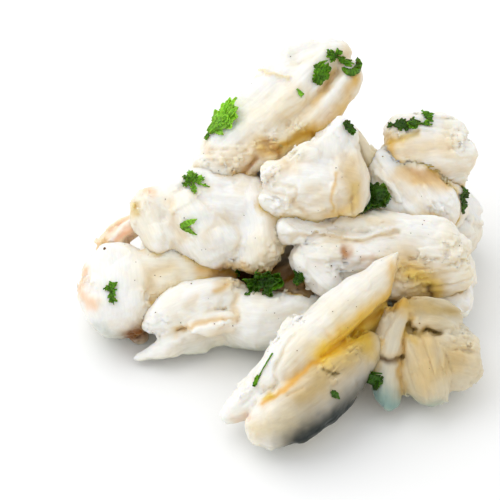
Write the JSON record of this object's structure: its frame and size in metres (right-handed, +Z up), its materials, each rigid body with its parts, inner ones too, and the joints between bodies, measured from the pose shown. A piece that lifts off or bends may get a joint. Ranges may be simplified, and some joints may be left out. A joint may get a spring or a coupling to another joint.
{
  "type": "heap of lump crab meat",
  "caption": "A loose heap of cooked lump crab meat, white lumps of muscle piled on each other with bits of parsley; it lies where it is tipped out",
  "frame": {"origin": "centre of the heap's box, at the level it rests on", "axes": "+X to the right and -Y toward the viewer of the front slope, +Z up"},
  "size_m": [0.095, 0.0904, 0.0504],
  "materials": {
    "crab_meat": "moist ivory white flesh with cream and golden hollows",
    "leg_meat": "moist pinkish orange skin over white flesh"
  },
  "bodies": {
    "root": {"front_lump": "crab_meat", "front_right_lump": "crab_meat", "right_lump": "crab_meat", "peak_lump": "crab_meat", "front_left_lump": "crab_meat", "middle_left_lump": "crab_meat", "left_lump": "crab_meat", "upper_right_lump": "crab_meat", "back_right_lump": "crab_meat", "top_lump": "crab_meat", "behind_peak_lump": "crab_meat", "leg_scrap": "leg_meat", "centre_lump": "crab_meat", "left_inner_lump": "crab_meat", "right_inner_lump": "crab_meat", "under_top_lump": "crab_meat", "back_left_lump": "crab_meat", "back_middle_lump": "crab_meat", "back_right_inner_lump": "crab_meat"}
  },
  "joints": []
}
